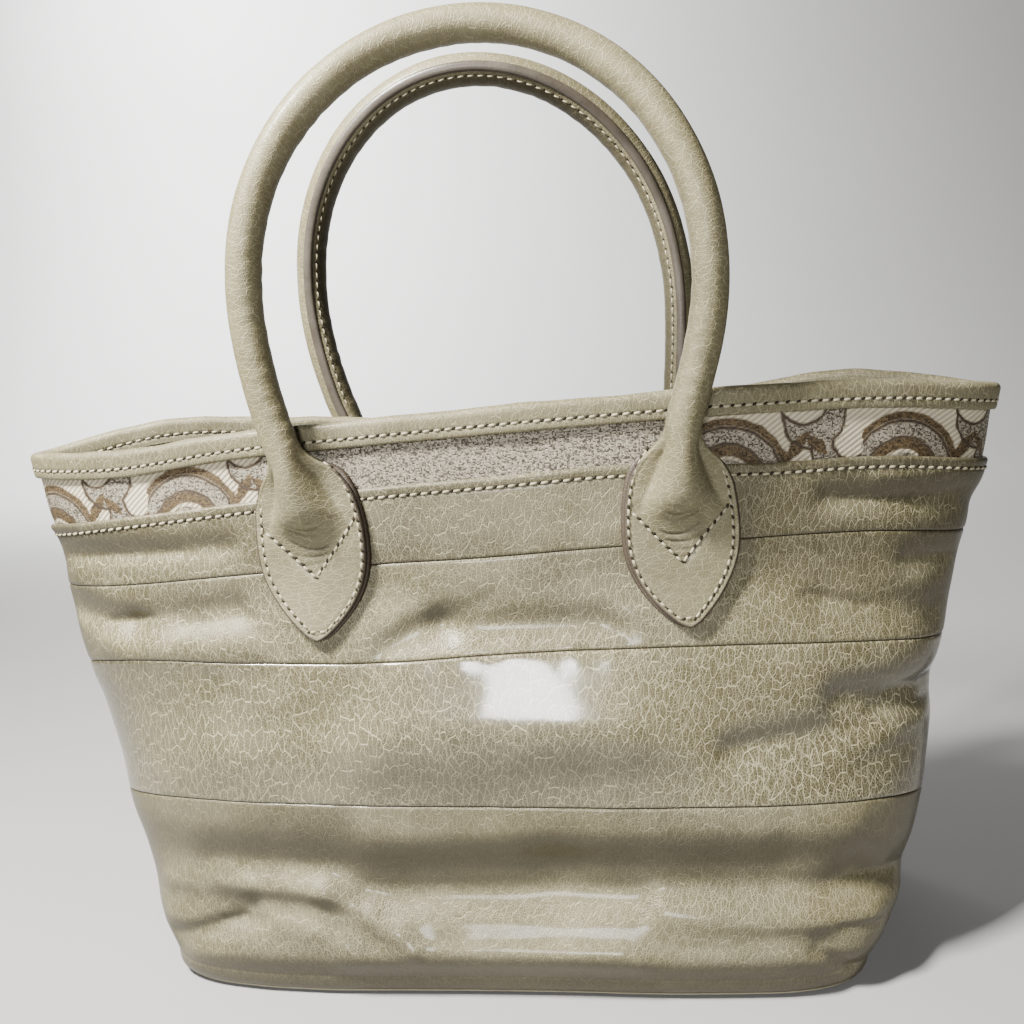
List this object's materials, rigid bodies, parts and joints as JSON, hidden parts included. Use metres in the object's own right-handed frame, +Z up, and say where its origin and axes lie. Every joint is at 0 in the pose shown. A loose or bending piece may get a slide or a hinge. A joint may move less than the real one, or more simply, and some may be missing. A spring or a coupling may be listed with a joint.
{
  "type": "tote bag",
  "caption": "Soft leather tote bag, open at the top, with a woven band under the bound rim and two round handles that end in stitched leaf-shaped tabs.",
  "frame": {"origin": "on the ground under the middle of the sole", "axes": "+X to the right of a viewer who faces the front, along the mouth; +Y from the front face to the back face; +Z up"},
  "size_m": [0.3577, 0.1335, 0.3274],
  "materials": {
    "strip_leather": "glazed, finely crackled, putty olive",
    "handle_leather": "satin, fine transverse creases, warm putty",
    "woven_fabric": "twill with a leaf and chevron motif in cream, bronze and silver grey",
    "sole_leather": "plain, matt"
  },
  "bodies": {
    "root": {"base_panel": "sole_leather", "strip_lower": "strip_leather", "strip_middle": "strip_leather", "strip_upper": "strip_leather", "strip_top": "strip_leather", "fabric_band": "woven_fabric", "rim_binding": "strip_leather", "handle_front": "handle_leather", "handle_back": "handle_leather", "tab_front_left": "handle_leather", "tab_front_right": "handle_leather", "tab_back_left": "handle_leather", "tab_back_right": "handle_leather"}
  },
  "joints": []
}
